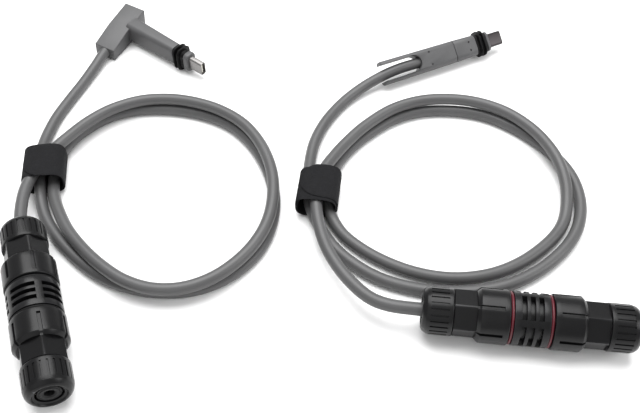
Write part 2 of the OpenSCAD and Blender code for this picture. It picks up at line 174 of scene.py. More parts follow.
def node(tree, kind, inputs, **settings):
    """Adds a node; each input is a value, or another node's output to link."""
    made = tree.nodes.new(kind)
    for key, value in settings.items():
        setattr(made, key, value)
    for key, value in inputs.items():
        if isinstance(value, bpy.types.NodeSocket):
            tree.links.new(value, made.inputs[key])
        else:
            made.inputs[key].default_value = value
    return made


def blank(name, roughness, metallic=0.0, ior=1.5):
    """A material with one principled shader, its node tree and that shader."""
    material = bpy.data.materials.new(name)
    material.use_nodes = True
    tree = material.node_tree
    shader = tree.nodes["Principled BSDF"]
    shader.inputs["Roughness"].default_value = roughness
    shader.inputs["Metallic"].default_value = metallic
    shader.inputs["IOR"].default_value = ior
    return material, tree, shader


def per_mm(spacing):
    """Scale of a noise whose grains are about this many millimetres apart, in frame metres."""
    return 1000.0 / spacing


def grained(name, low, high, patch_mm, grain_mm, depth_mm, roughness, spread, metallic=0.0,
            ior=1.5, shine=0.5):
    """A plain surface: two close tones in soft patches, fine grain in the relief and the gloss.

    Moulding grit is under 0.1 mm across, so the grain is drawn coarser than that to show."""
    material, tree, shader = blank(name, roughness, metallic, ior)
    shader.inputs["Specular IOR Level"].default_value = shine
    place = node(tree, "ShaderNodeTexCoord", {}).outputs["Object"]
    patches = node(tree, "ShaderNodeTexNoise",
                   {"Vector": place, "Scale": per_mm(patch_mm), "Detail": 3.0, "Roughness": 0.6})
    tone = node(tree, "ShaderNodeMix",
                {"Factor": patches.outputs["Fac"], "A": linear(low), "B": linear(high)},
                data_type="RGBA")
    tree.links.new(tone.outputs["Result"], shader.inputs["Base Color"])
    grain = node(tree, "ShaderNodeTexNoise",
                 {"Vector": place, "Scale": per_mm(grain_mm), "Detail": 2.0, "Roughness": 0.55})
    gloss = node(tree, "ShaderNodeMapRange",
                 {"Value": grain.outputs["Fac"], "To Min": roughness - spread,
                  "To Max": roughness + spread})
    tree.links.new(gloss.outputs["Result"], shader.inputs["Roughness"])
    relief = node(tree, "ShaderNodeBump",
                  {"Height": grain.outputs["Fac"], "Strength": 0.5, "Distance": depth_mm * MM})
    tree.links.new(relief.outputs["Normal"], shader.inputs["Normal"])
    return material


def moulded_nylon():
    """Black glass-filled nylon from a spark-eroded mould: a soft sheen, and a pale grey painted along
    its edges, partly edge wear and partly a painted highlight.
    """
    material = grained("moulded_nylon", "#0b0b0c", "#111112", 14, 0.45, 0.02, 0.3, 0.06, ior=1.53,
                       shine=0.2)
    tree = material.node_tree
    shader = tree.nodes["Principled BSDF"]
    tone = shader.inputs["Base Color"].links[0].from_socket
    # Convex edges are mixed towards a pale grey: a painted highlight along the edges, partly edge wear.
    edge = node(tree, "ShaderNodeMapRange",
                {"Value": node(tree, "ShaderNodeNewGeometry", {}).outputs["Pointiness"],
                 "From Min": 0.53, "From Max": 0.62, "To Min": 0.0, "To Max": 0.7})
    edge_highlight_and_wear = node(tree, "ShaderNodeMix",
                {"Factor": edge.outputs["Result"], "A": tone, "B": linear("#505053")},
                data_type="RGBA")
    tree.links.new(edge_highlight_and_wear.outputs["Result"], shader.inputs["Base Color"])
    return material


def woven_strap():
    """Woven hook-and-loop tape of black polyester: matt, with ribs and tiny loops along it, with
    painted light on the weave's crests and painted shade in its hollows.

    Its coordinates are millimetres along and across the tape; the spacings are real ones."""
    rib_mm, loop_mm, fuzz_mm = 0.8, 0.625, 2.86
    wave_mm = math.pi / 10  # width of one band of a wave texture whose scale is 1
    material, tree, shader = blank("woven_strap", 0.85, ior=1.4)
    shader.inputs["Specular IOR Level"].default_value = 0.2
    place = node(tree, "ShaderNodeTexCoord", {}).outputs["UV"]
    ribs = node(tree, "ShaderNodeTexWave",
                {"Vector": place, "Scale": wave_mm / rib_mm, "Distortion": 1.2, "Detail": 2.0,
                 "Detail Scale": 2.5},
                wave_type="BANDS", bands_direction="Y")
    loops = node(tree, "ShaderNodeTexVoronoi",
                 {"Vector": place, "Scale": 1 / loop_mm, "Randomness": 0.8})
    fuzz = node(tree, "ShaderNodeTexNoise", {"Vector": place, "Scale": 1 / fuzz_mm, "Detail": 5.0})
    height = node(tree, "ShaderNodeMath", {0: ribs.outputs["Fac"], 1: loops.outputs["Distance"]},
                  operation="SUBTRACT")
    tone = node(tree, "ShaderNodeMix",
                {"Factor": fuzz.outputs["Fac"], "A": linear("#0e0e0f"), "B": linear("#1c1c1e")},
                data_type="RGBA")
    # Painted light and shade: the weave's crests are mixed towards a paler grey by their height, and
    # its hollows stay dark.
    painted_crest_light_mask = node(tree, "ShaderNodeMapRange",
                  {"Value": height.outputs["Value"], "From Min": -0.6, "From Max": 0.9,
                   "To Min": 0.0, "To Max": 0.5})
    painted_crest_light = node(tree, "ShaderNodeMix",
                  {"Factor": painted_crest_light_mask.outputs["Result"], "A": tone.outputs["Result"],
                   "B": linear("#2a2a2c")},
                  data_type="RGBA")
    tree.links.new(painted_crest_light.outputs["Result"], shader.inputs["Base Color"])
    relief = node(tree, "ShaderNodeBump",
                  {"Height": height.outputs["Value"], "Strength": 0.7, "Distance": 0.25 * MM})
    tree.links.new(relief.outputs["Normal"], shader.inputs["Normal"])
    return material


def drawn_metal(name, low, high, roughness):
    """Steel strip folded into a shell: fine lengthwise draw marks and a few duller patches."""
    return grained(name, low, high, 5, 0.3, 0.01, roughness, 0.08, metallic=1.0)


def clear_polycarbonate():
    """Clear polycarbonate of a crimped plug, slightly milky from moulding."""
    material = grained("clear_polycarbonate", "#d5dadd", "#e6eaec", 6, 0.6, 0.01, 0.12, 0.04,
                       ior=1.58)
    material.node_tree.nodes["Principled BSDF"].inputs["Transmission Weight"].default_value = 0.6
    return material


NYLON = moulded_nylon()
# PVC jacket, extruded over the strands: an even mid grey with a satin gloss along its length
JACKET = grained("cable_pvc", "#474747", "#515152", 22, 0.5, 0.02, 0.42, 0.06, shine=0.4)
# ABS from a textured mould: flat mid grey, its fine grit breaking up the gloss
PLUG_ABS = grained("textured_abs", "#464647", "#505051", 10, 0.35, 0.04, 0.5, 0.08, shine=0.4)
# Moulded silicone rubber: deep red and slightly glossy, showing as a thin line between black parts
SILICONE = grained("red_silicone", "#4a141c", "#5c1c26", 5, 0.6, 0.01, 0.38, 0.05, ior=1.43)
# Moulded nitrile rubber: near black, with hardly any highlight
RUBBER = grained("black_rubber", "#0a0a0a", "#111112", 6, 0.5, 0.02, 0.5, 0.08, shine=0.2)
# Softer gland rubber: matt, a little greyer than the nylon round it
GROMMET_RUBBER = grained("grommet_rubber", "#0f0f10", "#171718", 6, 0.5, 0.02, 0.55, 0.08,
                         shine=0.25)
STRAP = woven_strap()
# Nickel-plated strip: silvery, with soft reflections along the folds
BRIGHT_STEEL = drawn_metal("nickel_plated_steel", "#7c7a79", "#8e8c8b", 0.42)
# Unpolished strip: dark grey, catching light only on its edges
DULL_STEEL = drawn_metal("plain_steel", "#3c393a", "#484546", 0.36)
# Gold flash on stamped contacts: warm and mirror-like
GOLD = grained("gold_plate", "#c79a45", "#d8ac58", 2, 0.3, 0.005, 0.25, 0.05, metallic=1.0)
# Moulded polyester of the jack blocks: black with a low gloss
BLACK_PLASTIC = grained("black_plastic", "#141415", "#1c1c1d", 8, 0.4, 0.02, 0.45, 0.06)
# Natural acetal, moulded and unpainted: waxy off-white
ACETAL = grained("natural_acetal", "#c9c6bc", "#d6d3ca", 8, 0.5, 0.01, 0.4, 0.05, ior=1.48)
CLEAR = clear_polycarbonate()
# Matt laminate: an even white that takes soft shadows
TABLE = grained("matt_table", "#f4f4f4", "#f7f7f7", 300, 2.0, 0.01, 0.7, 0.05)

# ---------------------------------------------------------------- mesh tools


def placed(at, heading):
    """Local frame with X along a heading, at a point given in millimetres."""
    return Matrix.Translation(Vector(at) * MM) @ Matrix.Rotation(math.radians(heading), 4, "Z")


def soften(obj, angle=32):
    """Smooth shading with sharp edges kept where faces turn by more than an angle."""
    mesh = obj.data
    mesh.polygons.foreach_set("use_smooth", [True] * len(mesh.polygons))
    mesh.set_sharp_from_angle(angle=math.radians(angle))
    return obj


def make(name, points, faces, material, angle=32):
    """A mesh object from local points in millimetres, with its normals facing out."""
    mesh = bpy.data.meshes.new(name)
    mesh.from_pydata([Vector(p) * MM for p in points], [], faces)
    work = bmesh.new()
    work.from_mesh(mesh)
    bmesh.ops.recalc_face_normals(work, faces=work.faces)
    work.to_mesh(mesh)
    work.free()
    mesh.materials.append(material)
    obj = bpy.data.objects.new(name, mesh)
    bpy.context.scene.collection.objects.link(obj)
    return soften(obj, angle)


def skin(rings, hollow):
    """Quads between rings of equal length; a hollow skin closes on itself, a solid one is capped."""
    count, size = len(rings), len(rings[0])
    points = [p for ring in rings for p in ring]
    faces = []
    for i in range(count if hollow else count - 1):
        here, there = i * size, ((i + 1) % count) * size
        for j in range(size):
            k = (j + 1) % size
            faces.append((here + j, here + k, there + k, there + j))
    if not hollow:
        faces.append(tuple(range(size)))
        faces.append(tuple((count - 1) * size + j for j in range(size)))
    return points, faces


def show(obj, place, body, slot, *nodes):
    """Puts a finished piece in its place, on its body, instead of the CAD nodes it stands for."""
    obj.data.transform(place)
    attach(obj, body)
    if nodes:
        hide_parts(*nodes)
    return obj


def eased(outline, ease):
    """Rounds each corner of a closed outline with a short three-point arc."""
    result = []
    count = len(outline)
    for i, point in enumerate(outline):
        here = Vector(point)
        before = Vector(outline[i - 1]) - here
        after = Vector(outline[(i + 1) % count]) - here
        turn = math.degrees(before.angle(-after, 0.0))
        if turn < 12:
            result.append(point)
            continue
        a = here + before.normalized() * min(ease, 0.4 * before.length)
        b = here + after.normalized() * min(ease, 0.4 * after.length)
        result += [tuple(a), tuple(0.25 * a + 0.5 * here + 0.25 * b), tuple(b)]
    return result


def divided(outline, stations, low_r):
    """Adds points to the outline's long outer runs at given stations along the axis."""
    result = []
    count = len(outline)
    for i in range(count):
        (x0, r0), (x1, r1) = outline[i], outline[(i + 1) % count]
        result.append((x0, r0))
        if min(r0, r1) < low_r or abs(x1 - x0) < 1e-6:
            continue
        between = [x for x in stations if min(x0, x1) + 0.01 < x < max(x0, x1) - 0.01]
        for x in sorted(between, reverse=x1 < x0):
            result.append((x, r0 + (r1 - r0) * (x - x0) / (x1 - x0)))
    return result


def turned(name, outline, material, angles, radius):
    """A hollow piece turned about X; radius(x, r, angle) cuts its flats, grooves, slots and threads."""
    rings = []
    for x, r in outline:
        ring = []
        for a in angles:
            reach = radius(x, r, a)
            ring.append((x, reach * math.cos(math.radians(a)), reach * math.sin(math.radians(a))))
        rings.append(ring)
    points, faces = skin(rings, True)
    return make(name, points, faces, material)


def plain_radius(x, r, a):
    """No cuts: a plain round piece."""
    return r


def even_angles(count):
    """Angles in even steps round the axis."""
    return [360 * i / count for i in range(count)]


def wedge_angles(centres, marks, fill):
    """Angles close to each centre at the given marks, with even steps in the gaps between them."""
    result = []
    gap = 360 / len(centres)
    for centre in sorted(c % 360 for c in centres):
        result += [centre + m for m in marks]
        span = gap - 2 * marks[-1]
        result += [centre + marks[-1] + span * i / fill for i in range(1, fill)]
    return result


def thread(x, crest, depth, a):
    """Radius on a right-hand screw thread with rounded flanks."""
    phase = (x / THREAD_PITCH - a / 360) % 1.0
    return crest - depth * (0.5 + 0.5 * math.cos(2 * math.pi * phase)) ** 1.5


CORNER_STEPS = 7


def rounded_section(w, t, r):
    """Points round a rounded rectangle, w along Y and t along Z."""
    r = min(r, w / 2 - 0.01, t / 2 - 0.01)
    points = []
    for quarter, (side, up) in enumerate(((1, 1), (-1, 1), (-1, -1), (1, -1))):
        for i in range(CORNER_STEPS + 1):
            a = math.radians(90 * (quarter + i / CORNER_STEPS))
            points.append((side * (w / 2 - r) + r * math.cos(a), up * (t / 2 - r) + r * math.sin(a)))
    return points


def lofted(name, stations, material, hollow=False, angle=32):
    """A skin through rounded rectangles at stations (x, w, t, r) along X."""
    rings = [[(x, y, z) for y, z in rounded_section(w, t, r)] for x, w, t, r in stations]
    points, faces = skin(rings, hollow)
    return make(name, points, faces, material, angle)


def cushioned(x0, w0, t0, x1, w1, t1, r, ease):
    """Stations of a tapered bar whose two ends are eased over."""
    def end(x, w, t, inward):
        return [(x + inward * ease * k, w - 2 * ease * c, t - 2 * ease * c, r)
                for k, c in ((0, 1), (0.13, 0.5), (0.5, 0.13), (1, 0))]
    return end(x0, w0, t0, 1) + list(reversed(end(x1, w1, t1, -1)))


def applied(obj, kind, **settings):
    """Runs one modifier on a piece and keeps the result as its mesh."""
    modifier = obj.modifiers.new(kind, kind)
    for key, value in settings.items():
        setattr(modifier, key, value)
    bpy.context.view_layer.update()
    result = obj.evaluated_get(bpy.context.evaluated_depsgraph_get())
    mesh = bpy.data.meshes.new_from_object(result)
    obj.modifiers.clear()
    obj.data = mesh
    return obj


def cut(obj, tool):
    """Takes a tool's shape out of a piece, and the tool away."""
    applied(obj, "BOOLEAN", operation="DIFFERENCE", solver="EXACT", object=tool)
    bpy.data.objects.remove(tool)
    return obj


def prism(name, outline, low, high, material):
    """An outline in X and Y, raised from low to high along Z."""
    rings = [[(x, y, z) for x, y in outline] for z in (low, high)]
    points, faces = skin(rings, False)
    return make(name, points, faces, material)


def smooth_path(points, steps):
    """Catmull-Rom curve through given points."""
    ends = [2 * Vector(points[0]) - Vector(points[1])]
    ends += [Vector(p) for p in points]
    ends.append(2 * Vector(points[-1]) - Vector(points[-2]))
    path = []
    for i in range(1, len(ends) - 2):
        a, b, c, d = ends[i - 1:i + 3]
        for k in range(steps):
            t = k / steps
            path.append(0.5 * (2 * b + (c - a) * t + (2 * a - 5 * b + 4 * c - d) * t * t
                               + (3 * b - a - 3 * c + d) * t ** 3))
    path.append(ends[-2])
    return path


def tube(name, path, r, sides, material):
    """A round jacket along a path."""
    rings = []
    for i, here in enumerate(path):
        ahead = (path[min(i + 1, len(path) - 1)] - path[max(i - 1, 0)]).normalized()
        side = Vector((0, 0, 1)).cross(ahead).normalized()
        up = ahead.cross(side)
        rings.append([here + r * (math.cos(a) * side + math.sin(a) * up)
                      for a in (2 * math.pi * j / sides for j in range(sides))])
    points, faces = skin(rings, False)
    return make(name, points, faces, material, 50)


# ---------------------------------------------------------------- cables


def middle(name):
    """Middle of a CAD node's box, in millimetres."""
    low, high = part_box(name)
    return [(low[i] + high[i]) / 2 / MM for i in range(3)]


def along(at, heading, distance):
    """A point at a distance from another, level with it."""
    a = math.radians(heading)
    return (at[0] + distance * math.cos(a), at[1] + distance * math.sin(a), at[2])


CENTRE = {lead: middle(lead + "_centre_body") for lead in HEADING}


def side_heading(lead, side):
    """Heading of a coupler's field side, or of its cable side, which faces the other way."""
    return HEADING[lead] + (180 if side == "cable" else 0)


def axis_point(lead, side, distance):
    """A point on a coupler's axis, on the given side of its middle."""
    return along(CENTRE[lead], side_heading(lead, side), distance)


def cable_entry(distance):
    """A point on the axis of the angled plug's cable, at a distance from the plug's bend."""
    x, y, z = along(ANGLED_PLUG_AT, ANGLED_PLUG_HEADING - PLUG_BEND, distance)
    return (x, y, z - CABLE_DROP)


STRAIGHT_ROUTE = [axis_point("straight", "cable", d) for d in (24, 44, 61.5)] + [
    (43, 20.2, 14), (34, 24, 13), (25, 31.5, 12.3), (16, 42, 11.8), (8, 55, 11.5),
    (2.5, 69, 11.5), (-1, 83, 12), (-2, 97, 12.1), (0, 111, 12), (5, 124, 11.3),
    (12, 138, 10.6), (22, 153, 10.6), (37, 169, 10.6), (55, 179, 10.6), (75, 182.5, 10.6),
    (93.5, 180.5, 10.6), (110.5, 173, 10.6), (126, 158.5, 10.6), (136.5, 140, 10.6),
    (141.5, 122, 8.6), (142, 106, 5), (138.5, 91.5, 3.5), (129, 77, 3.5), (114, 62.5, 3.5),
    (96.5, 52.5, 3.5), (76, 48, 3.5), (55, 50, 3.5), (35, 57.5, 3.5), (18.5, 68.5, 3.5),
    (10, 79, 3.8), (5.5, 89, 5), (3, 100, 5), (3.5, 112, 5), (7, 125, 4), (13, 138, 3.5),
    (23, 152, 3.5), (38, 167, 3.5), (56, 176.5, 3.5), (76.5, 179.5, 3.5), (95, 177.5, 3.5),
    (111.5, 170, 3.5), (125.5, 159.5, 3.5), (137.5, 147, 3.5), (146, 133, 3.5),
    (150, 118, 3.5), (150, 102.5, 3.5), (146, 87.5, 3.5), (137.5, 73, 3.5), (124, 58.5, 3.5),
    (108, 47.5, 3.5), (90, 41, 3.5), (71, 38.5, 3.5), (54, 39.5, 3.5), (38, 43.5, 3.5),
    (24, 51, 3.5), (12, 61, 3.5), (3, 73, 4), (-4, 86, 5), (-7.7, 99, 5), (-9, 112, 5),
    (-9.7, 127, 3.8), (-8.7, 143, 3.5), (-4, 160.5, 3.5), (4.5, 178, 3.5), (15.5, 192, 5),
    (28.4, 202.4, 7.9),
] + [along(STRAIGHT_PLUG_AT, STRAIGHT_PLUG_HEADING, d) for d in (13, 24, 33.9)]

ANGLED_ROUTE = [axis_point("angled", "cable", d) for d in (24, 44, 61.5)] + [
    (-168, 71, 13.3), (-169, 84, 12.3), (-167, 97, 12.1), (-163, 109, 12.1),
    (-157.5, 121.5, 11.6), (-149.5, 136.5, 10.8), (-138, 149.5, 10.6), (-122, 159, 10.6),
    (-104, 162.5, 10.6), (-86, 161, 10.6), (-69, 155.5, 10.6), (-53, 145, 10.6),
    (-40, 129, 10.6), (-31, 110, 10.6), (-27, 91, 10.6), (-27, 72, 10.6), (-31.5, 55, 10.6),
    (-40, 40, 10.6), (-51.5, 28, 10.6), (-65.5, 20.5, 10.6), (-81, 18.5, 10.6),
    (-96.5, 22, 10.6), (-111, 30, 10.3), (-124.5, 40.5, 9.4), (-137.5, 53.5, 8),
    (-148, 68, 6.6), (-154.5, 79.5, 5.6), (-158, 90, 5), (-160, 101, 5), (-160.5, 112, 5),
    (-158.5, 124.5, 4.2), (-151.5, 138, 3.5), (-140.5, 149.5, 3.5), (-126, 157, 3.5),
    (-110, 160, 3.5), (-94, 160, 3.5), (-78, 157, 3.5), (-62.5, 150, 3.5), (-49, 138, 3.5),
    (-38, 122.5, 3.5), (-30, 105, 3.5), (-26, 88, 3.5), (-26, 71, 3.5), (-30, 55, 3.5),
    (-38, 41.5, 3.5), (-49, 31, 3.5), (-63, 24, 3.5), (-79, 21.5, 3.5), (-94.5, 22.5, 3.5),
    (-110, 27, 3.5), (-125, 35.5, 3.5), (-140, 47.5, 3.5), (-153, 61.5, 3.5),
    (-160.8, 74.5, 4), (-165.3, 87, 5), (-169.5, 99, 5), (-173, 111, 5), (-175, 125.5, 3.8),
    (-174.3, 144, 3.5), (-171, 161, 3.5), (-167, 178, 3.6), (-163.5, 193, 4.6),
] + [cable_entry(d) for d in (27.4, 15.4)]


def jacketed_cable(lead, route):
    """One lead's cable, from inside its coupler to inside its plug."""
    path = smooth_path(route, 5)
    piece = tube(lead + "_cable_jacket", path, CABLE_R, 24, JACKET)
    show(piece, Matrix.Identity(4), lead + "_lead", "cable_jacket", lead + "_cable")
    return piece, path


straight_jacket, straight_path = jacketed_cable("straight", STRAIGHT_ROUTE)
angled_jacket, angled_path = jacketed_cable("angled", ANGLED_ROUTE)

# ---------------------------------------------------------------- couplers


def fit(piece, lead, side, body, slot, stands_for):
    """Puts a coupler piece on its lead's axis, facing the side that it belongs to."""
    show(piece, placed(CENTRE[lead], side_heading(lead, side)), body, slot, stands_for)


LEAD_IN = 0.12


def groove_mask(distance, half):
    """Share of a cut's depth across its width: none outside, a little at its lip, all inside."""
    distance = abs(distance)
    if distance >= half + 0.2:
        return 0.0
    if distance > half - 0.05:
        return LEAD_IN
    return 1.0


def cut_by(r, deep, share, lead_in):
    """Radius after a cut: its whole depth inside, or only the rounding of its lip."""
    return r - deep * share if share > 0.5 else r - lead_in * share


def arc_gap(a, centre):
    """Signed degrees from one angle to another."""
    return (a - centre + 180) % 360 - 180


def slotted_body(lead):
    """The coupler's middle: a slotted cage between two threaded spigots, with the jack's web."""
    clock = 90 + BAR_CLOCK[lead]
    bars = [clock + 360 / BARS * i for i in range(BARS)]
    edge = math.degrees(BAR_HALF / CAGE_R)
    lip = math.degrees(0.2 / CAGE_R)
    inside_web, inside_spigot, outside_spigot = 9, 10.5, 12
    thread_start, thread_end = 11.5, SPIGOT_END - 0.4
    marks = (-edge - lip, -edge, -edge + lip, 0, edge - lip, edge, edge + lip)
    angles = wedge_angles(bars, marks, 16)

    def radius(x, r, a):
        if r < inside_web:
            c, s = abs(math.cos(math.radians(a))), abs(math.sin(math.radians(a)))
            return min(WINDOW_HALF_W / max(c, 1e-6), WINDOW_HALF_H / max(s, 1e-6))
        if r > outside_spigot:
            off_bar = min(abs(arc_gap(a, b)) for b in bars) - edge
            across = 1.0 if off_bar > 0.5 * lip else (LEAD_IN if off_bar > -0.5 * lip else 0.0)
            row = max(groove_mask(x - s, SLOT_HALF) for s in SLOT_ROWS)
            return cut_by(r, CAGE_R - SLOT_FLOOR, min(across, row), 0.25)
        if r > inside_spigot and thread_start < abs(x) < thread_end:
            return thread(x, SPIGOT_R, SPIGOT_THREAD, a if x > 0 else -a)
        return r

    stations = []
    for row in SLOT_ROWS:
        for side in (-1, 1):
            stations += [row + side * (SLOT_HALF + d) for d in (0.2, 0.0, -0.1)]
    turns = [side * (thread_start + 0.1 + 0.25 * i) for i in range(37) for side in (-1, 1)]
    outline = [(-SPIGOT_END, SPIGOT_BORE), (-WEB_HALF, SPIGOT_BORE), (-WEB_HALF, WEB_R),
               (WEB_HALF, WEB_R), (WEB_HALF, SPIGOT_BORE), (SPIGOT_END, SPIGOT_BORE),
               (SPIGOT_END, SPIGOT_R), (CAGE_HALF, SPIGOT_R), (CAGE_HALF, CAGE_R),
               (-CAGE_HALF, CAGE_R), (-CAGE_HALF, SPIGOT_R), (-SPIGOT_END, SPIGOT_R)]
    outline = divided(eased(outline, 0.35), stations, outside_spigot)
    outline = divided(outline, turns, inside_spigot)
    piece = turned(lead + "_slotted_body", outline, NYLON, angles, radius)
    fit(piece, lead, "field", lead + "_lead", "coupler_nylon", lead + "_centre_body")


SEAL_STUFF = {"straight": (SILICONE, "seal_ring_rubber"), "angled": (RUBBER, "black_rubber")}


def seal_ring(lead, side):
    """One of the two sealing rings beside the cage: dark red on one lead, black on the other."""
    outline = [(SEAL_X + SEAL_R * math.cos(math.radians(30 * i)),
                SPIGOT_R + 0.5 + SEAL_R + (SEAL_R + 0.1) * math.sin(math.radians(30 * i)))
               for i in range(12)]
    stuff, slot = SEAL_STUFF[lead]
    piece = turned(f"{lead}_seal_ring_{side}", outline, stuff, even_angles(96), plain_radius)
    fit(piece, lead, side, lead + "_lead", slot, lead + "_seal_rings")


def screw_housing(lead, side):
    """Housing with six broad panels, a hexagon neck and the nut's thread."""
    clock = 90 + GROOVE_CLOCK[lead, side]
    centres = [clock + 60 * i for i in range(6)]
    half, deep, start = 1.0, 1.0, HOUSING_START + 3.1
    under_skirt, groove_floor = 12.05, 12.2
    thread_start, thread_end = HEX_END + 0.8, NECK_END - 0.4
    degrees = math.degrees(1 / SKIRT_R)
    marks = [m * degrees for m in (-half - 0.25, -half, -half + 0.12, 0,
                                   half - 0.12, half, half + 0.25)]
    angles = wedge_angles(centres, marks, 16)

    def radius(x, r, a):
        if r <= under_skirt:
            if thread_start < x < thread_end and 9.5 < r < 10.5:
                return thread(x, NECK_R, NECK_THREAD, a)
            return r
        gap = min((arc_gap(a, c) for c in centres), key=abs)
        if x > SKIRT_END:
            return min(r, HEX_HALF / math.cos(math.radians(30 - abs(gap))))
        across = groove_mask(gap / degrees, half)
        into = 0.0 if x < start - 0.15 else (LEAD_IN if x < start + 0.05 else 1.0)
        depth = min(across, into)
        return max(cut_by(r, deep, depth, 0.2), groove_floor)

    bore = SPIGOT_R + 0.25
    outline = [(HOUSING_START, bore), (HOUSING_THREAD_END, bore), (HOUSING_THREAD_END, CHAMBER_R),
               (CHAMBER_END, CHAMBER_R), (CHAMBER_END, MOUTH_R), (SEAT_START, MOUTH_R),
               (SEAT_START, SEAT_R), (NECK_END, SEAT_R), (NECK_END, NECK_R),
               (HEX_END, NECK_R), (HEX_END, HEX_CORNER), (SKIRT_END + 0.05, HEX_CORNER),
               (SKIRT_END - 0.05, 12.5), (SKIRT_END - 1.9, SKIRT_R),
               (HOUSING_START + 0.4, SKIRT_R), (HOUSING_START, SKIRT_R - 0.5)]
    outline = eased(outline, 0.3)
    outline = divided(outline, (start - 0.3, start, start + 0.12, 18, 22, 25), 12.3)
    outline = divided(outline, [thread_start + 0.25 * i for i in range(25)], 9.7)
    piece = turned(f"{lead}_housing_{side}_shell", outline, NYLON, angles, radius)
    fit(piece, lead, side, f"{lead}_{side}_housing", "coupler_nylon", f"{lead}_housing_{side}")


def gland_nut(lead, side):
    """Domed gland nut with a plain band and fine gripping grooves."""
    centres = [360 / NUT_GROOVES * i for i in range(NUT_GROOVES)]
    half, deep, inside = 0.5, 0.55, 11
    low, high = NUT_START + 2.4, NUT_START + 11.4
    degrees = math.degrees(1 / NUT_R)
    marks = [m * degrees for m in (-half - 0.2, -half, -half + 0.1, half - 0.1, half, half + 0.2)]
    angles = wedge_angles(centres, marks, 3)

    def radius(x, r, a):
        if r < inside:
            return r
        gap = min((arc_gap(a, c) for c in centres), key=abs)
        across = groove_mask(gap / degrees, half)
        into = 1.0 if low < x < high else 0.0
        return cut_by(r, deep, min(across, into), 0.15)

    outline = [(NUT_START, NUT_THREAD_R), (NUT_THREAD_END, NUT_THREAD_R),
               (NUT_THREAD_END, NUT_CAVITY_R), (NUT_CAVITY_END, NUT_CAVITY_R),
               (NUT_CAVITY_END, NUT_HOLE_R), (NUT_END - 1.2, NUT_HOLE_R), (NUT_END - 1.0, 8.2),
               (NUT_END, 8.6), (NUT_END, 9.3), (NUT_END - 0.6, 10.5), (NUT_END - 2.2, 11.7),
               (NUT_END - 4.4, NUT_R), (NUT_START + 0.4, NUT_R), (NUT_START, NUT_R - 0.4)]
    outline = eased(outline, 0.35)
    outline = divided(outline, (low - 0.1, low + 0.1, high - 0.1, high + 0.1), 11.5)
    piece = turned(f"{lead}_nut_{side}_cap", outline, NYLON, angles, radius)
    fit(piece, lead, side, f"{lead}_{side}_nut", "coupler_nylon", f"{lead}_nut_{side}")


def rubber_grommet(lead, side):
    """Sealing grommet, with a raised ring round its hole."""
    bore = CABLE_R + 0.1 if side == "cable" else FIELD_BORE
    ring = 4.7 if side == "field" else 4.9
    outline = [(GROMMET_START, bore), (GROMMET_END - 0.6, bore), (GROMMET_END - 0.3, bore + 0.5),
               (GROMMET_END, bore + 0.7), (GROMMET_END, ring), (GROMMET_END - 0.5, 5.0),
               (GROMMET_END - 0.5, 5.4), (GROMMET_END - 0.2, 5.7), (GROMMET_END - 0.5, GROMMET_R),
               (GROMMET_START, GROMMET_R)]
    piece = turned(f"{lead}_grommet_{side}_rubber", eased(outline, 0.2), GROMMET_RUBBER,
                   even_angles(64), plain_radius)
    fit(piece, lead, side, f"{lead}_{side}_clamp", "grey_rubber", f"{lead}_grommet_{side}")


for lead_name in HEADING:
    slotted_body(lead_name)
    for side_name in ("field", "cable"):
        seal_ring(lead_name, side_name)
        screw_housing(lead_name, side_name)
        gland_nut(lead_name, side_name)
        rubber_grommet(lead_name, side_name)

# ---------------------------------------------------------------- straps


def strap_band(lead):
    """Fabric tape wound twice round the strands, its rounded tongue lying over the top.

    The winding is a spiral whose section is a rounded oblong, and it drifts sideways on its way."""
    at, heading, skew = STRAPS[lead]
    steps, tongue, half, thick = 150, 13.0, 12.4, 0.7
    total, last = 2.0, 40.0
    centre_z, power = 8.6, 2 / 3.3
    spine = []
    for i in range(steps + 1):
        turns = total * i / steps
        a = math.radians(last + 360 * (total - turns))
        wide, tall = 10.9 + 0.72 * turns, 7.15 + 0.65 * turns
        c, s = math.cos(a), math.sin(a)
        spine.append(Vector((0, wide * math.copysign(abs(c) ** power, c),
                             tall * math.copysign(abs(s) ** power, s))))
    lengths = [0.0]
    for i in range(steps):
        lengths.append(lengths[-1] + (spine[i + 1] - spine[i]).length)
    rings, marks = [], []
    for i, here in enumerate(spine):
        ahead = (spine[min(i + 1, steps)] - spine[max(i - 1, 0)]).normalized()
        out = Vector((0, ahead.z, -ahead.y))
        if out.dot(here) < 0:
            out = -out
        left = lengths[-1] - lengths[i]
        reach = half * math.sqrt(max(0.02, 1 - max(0.0, 1 - left / tongue) ** 2.2))
        drift = skew * max(0.0, lengths[i] / lengths[-1] - 0.5) * 2
        across = [reach * math.sin(math.pi / 2 * k / 5) for k in range(-5, 6)]
        depths = [thick / 2 if abs(k) < 5 else thick / 5 for k in range(-5, 6)]
        upper, lower = [[here + side * depth * out + Vector((v + drift, 0, 0))
                         for depth, v in zip(depths, across)] for side in (1, -1)]
        rings.append(upper + lower[::-1])
        marks.append([(lengths[i], v) for v in across] + [(lengths[i], v) for v in across[::-1]])
    points, faces = skin(rings, False)
    piece = make(lead + "_strap_tape", points, faces, STRAP, 50)
    flat = [m for ring in marks for m in ring]
    uv = piece.data.uv_layers.new(name="tape")
    for loop in piece.data.loops:
        uv.data[loop.index].uv = flat[loop.vertex_index]
    show(piece, placed((at[0], at[1], centre_z), heading), lead + "_lead", "strap_fabric",
         lead + "_strap")
    return piece


straight_strap = strap_band("straight")
angled_strap = strap_band("angled")

# ---------------------------------------------------------------- plugs

